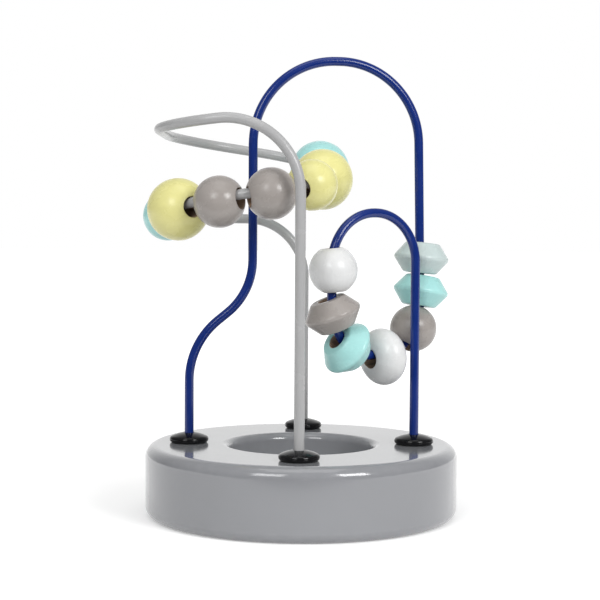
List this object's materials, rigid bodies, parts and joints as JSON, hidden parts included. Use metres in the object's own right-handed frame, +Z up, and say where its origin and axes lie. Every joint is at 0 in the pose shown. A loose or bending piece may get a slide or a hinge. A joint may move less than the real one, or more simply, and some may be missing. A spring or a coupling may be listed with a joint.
{
  "type": "bead maze",
  "caption": "Tabletop bead maze: bent wire loops carrying bored wooden beads that slide and turn, standing on a round ring base.",
  "frame": {"origin": "middle of the base underside", "axes": "+Z up, -Y toward the front foot of the grey wire, +X to the right seen from the front"},
  "size_m": [0.1268, 0.125, 0.1836],
  "materials": {
    "base_grey": "glossy grey moulding",
    "collar_black": "black, satin",
    "wire_blue": "dark blue coating",
    "wire_grey": "light grey coating",
    "zinc": "zinc plated",
    "bead_mint": "satin paint",
    "bead_yellow": "satin paint",
    "bead_taupe": "satin paint",
    "bead_pale": "satin paint",
    "bead_white": "satin paint"
  },
  "bodies": {
    "stand": {"base_ring": "base_grey", "collar_left": "collar_black", "collar_right": "collar_black", "collar_front": "collar_black", "collar_back": "collar_black", "blue_wire": "wire_blue", "grey_wire": "wire_grey", "anchor_washers": "zinc", "anchor_nuts": "zinc"},
    "mint_ball_back": {"mint_ball_back": "bead_mint"},
    "yellow_ball_right": {"yellow_ball_right": "bead_yellow"},
    "yellow_ball_small": {"yellow_ball_small": "bead_yellow"},
    "taupe_ball_right": {"taupe_ball_right": "bead_taupe"},
    "taupe_ball_left": {"taupe_ball_left": "bead_taupe"},
    "yellow_ball_left": {"yellow_ball_left": "bead_yellow"},
    "mint_ball_left": {"mint_ball_left": "bead_mint"},
    "pale_bicone": {"pale_bicone": "bead_pale"},
    "mint_bicone_upper": {"mint_bicone_upper": "bead_mint"},
    "taupe_ball_loop": {"taupe_ball_loop": "bead_taupe"},
    "white_oval": {"white_oval": "bead_white"},
    "mint_bicone_lower": {"mint_bicone_lower": "bead_mint"},
    "taupe_bicone": {"taupe_bicone": "bead_taupe"},
    "white_ball": {"white_ball": "bead_white"}
  },
  "joints": [
    {"name": "yellow_ball_right_slide", "type": "slide", "parent": "stand", "child": "yellow_ball_right", "axis": [0.0757, 0.9899, 0.1195], "range_m": [0, 0.0085]},
    {"name": "yellow_ball_small_slide", "type": "hinge", "parent": "stand", "child": "yellow_ball_small", "pos_m": [-0.01725, -0.01034, 0.1314], "axis": [-0.1308, -0.1089, 0.9854], "range_deg": [0, 20.13]},
    {"name": "taupe_ball_right_slide", "type": "hinge", "parent": "stand", "child": "taupe_ball_right", "pos_m": [-0.01725, -0.01034, 0.1314], "axis": [-0.1308, -0.1089, 0.9854], "range_deg": [0, 20.13]},
    {"name": "mint_ball_back_slide", "type": "hinge", "parent": "stand", "child": "mint_ball_back", "pos_m": [-0.01725, 0.01824, 0.14245], "axis": [0.1638, -0.1305, 0.9778], "range_deg": [0, 20.51]},
    {"name": "yellow_ball_left_slide", "type": "hinge", "parent": "stand", "child": "yellow_ball_left", "pos_m": [-0.01782, 0.00252, 0.12617], "axis": [0.1313, -0.0671, -0.9891], "range_deg": [0, 9.29]},
    {"name": "taupe_ball_left_slide", "type": "hinge", "parent": "stand", "child": "taupe_ball_left", "pos_m": [-0.01782, 0.00252, 0.12617], "axis": [0.1313, -0.0671, -0.9891], "range_deg": [0, 9.29]},
    {"name": "mint_ball_left_slide", "type": "slide", "parent": "stand", "child": "mint_ball_left", "axis": [0, 0.9977, -0.0677], "range_m": [0, 0.006]},
    {"name": "taupe_ball_loop_slide", "type": "hinge", "parent": "stand", "child": "taupe_ball_loop", "pos_m": [0.03272, -0.00085, 0.087], "axis": [0.7202, -0.6937, 0.0136], "range_deg": [0, 15.63]},
    {"name": "mint_bicone_upper_slide", "type": "slide", "parent": "stand", "child": "mint_bicone_upper", "axis": [-0.0188, 0, 0.9998], "range_m": [0, 0.006]},
    {"name": "pale_bicone_slide", "type": "slide", "parent": "mint_bicone_upper", "child": "pale_bicone", "axis": [-0.0188, 0, 0.9998], "range_m": [0, 0.018]},
    {"name": "white_oval_slide", "type": "slide", "parent": "stand", "child": "white_oval", "axis": [-0.6937, -0.7202, 0], "range_m": [-0.0007, 0.001]},
    {"name": "taupe_bicone_slide", "type": "hinge", "parent": "stand", "child": "taupe_bicone", "pos_m": [0.02706, -0.00715, 0.087], "axis": [-0.7203, 0.6937, 0], "range_deg": [0, 15.63]},
    {"name": "mint_bicone_lower_slide", "type": "hinge", "parent": "stand", "child": "mint_bicone_lower", "pos_m": [0.02706, -0.00715, 0.087], "axis": [-0.7203, 0.6937, 0], "range_deg": [0, 15.63]},
    {"name": "white_ball_slide", "type": "hinge", "parent": "stand", "child": "white_ball", "pos_m": [0.02825, -0.01167, 0.10122], "axis": [-0.5672, 0.8236, 0], "range_deg": [0, 17.21]}
  ],
  "couplings": [
    {"joint": "yellow_ball_small_slide", "follows": "yellow_ball_right_slide", "rad_per_m": 41.322},
    {"joint": "taupe_ball_right_slide", "follows": "yellow_ball_right_slide", "rad_per_m": 41.322},
    {"joint": "mint_ball_back_slide", "follows": "yellow_ball_right_slide", "rad_per_m": 42.105},
    {"joint": "taupe_ball_left_slide", "follows": "mint_ball_left_slide", "rad_per_m": 27.027},
    {"joint": "yellow_ball_left_slide", "follows": "mint_ball_left_slide", "rad_per_m": 27.027},
    {"joint": "taupe_ball_loop_slide", "follows": "mint_bicone_upper_slide", "rad_per_m": 45.455},
    {"joint": "mint_bicone_lower_slide", "follows": "taupe_bicone_slide", "ratio": 1},
    {"joint": "white_ball_slide", "follows": "taupe_bicone_slide", "ratio": 1.1013}
  ]
}
